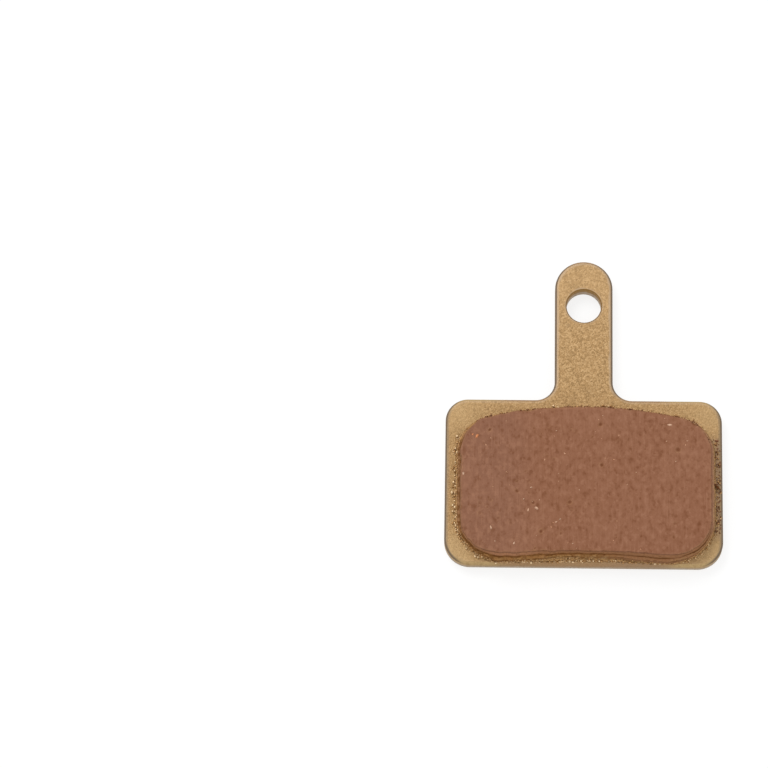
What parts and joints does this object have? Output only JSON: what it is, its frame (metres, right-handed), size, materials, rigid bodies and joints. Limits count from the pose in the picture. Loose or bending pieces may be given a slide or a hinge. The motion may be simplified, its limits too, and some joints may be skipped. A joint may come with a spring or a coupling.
{
  "type": "bicycle disc brake pad",
  "caption": "Flat stamped steel backing plate with a hanger tab and pin hole, carrying a bonded sintered friction lining with a bowed edge, for a bicycle disc brake caliper.",
  "frame": {"origin": "middle of the backing plate's body, on its back face, where the caliper's piston pushes", "axes": "+Z out of the friction face, +Y along the hanger tab, +X across the plate"},
  "size_m": [0.03, 0.0346, 0.004],
  "materials": {
    "plated_steel": "satin",
    "brass_powder": "matte",
    "sintered_lining": "matte"
  },
  "bodies": {
    "root": {"backing_plate": "plated_steel", "bonding_layer": "brass_powder", "friction_lining": "sintered_lining"}
  },
  "joints": []
}
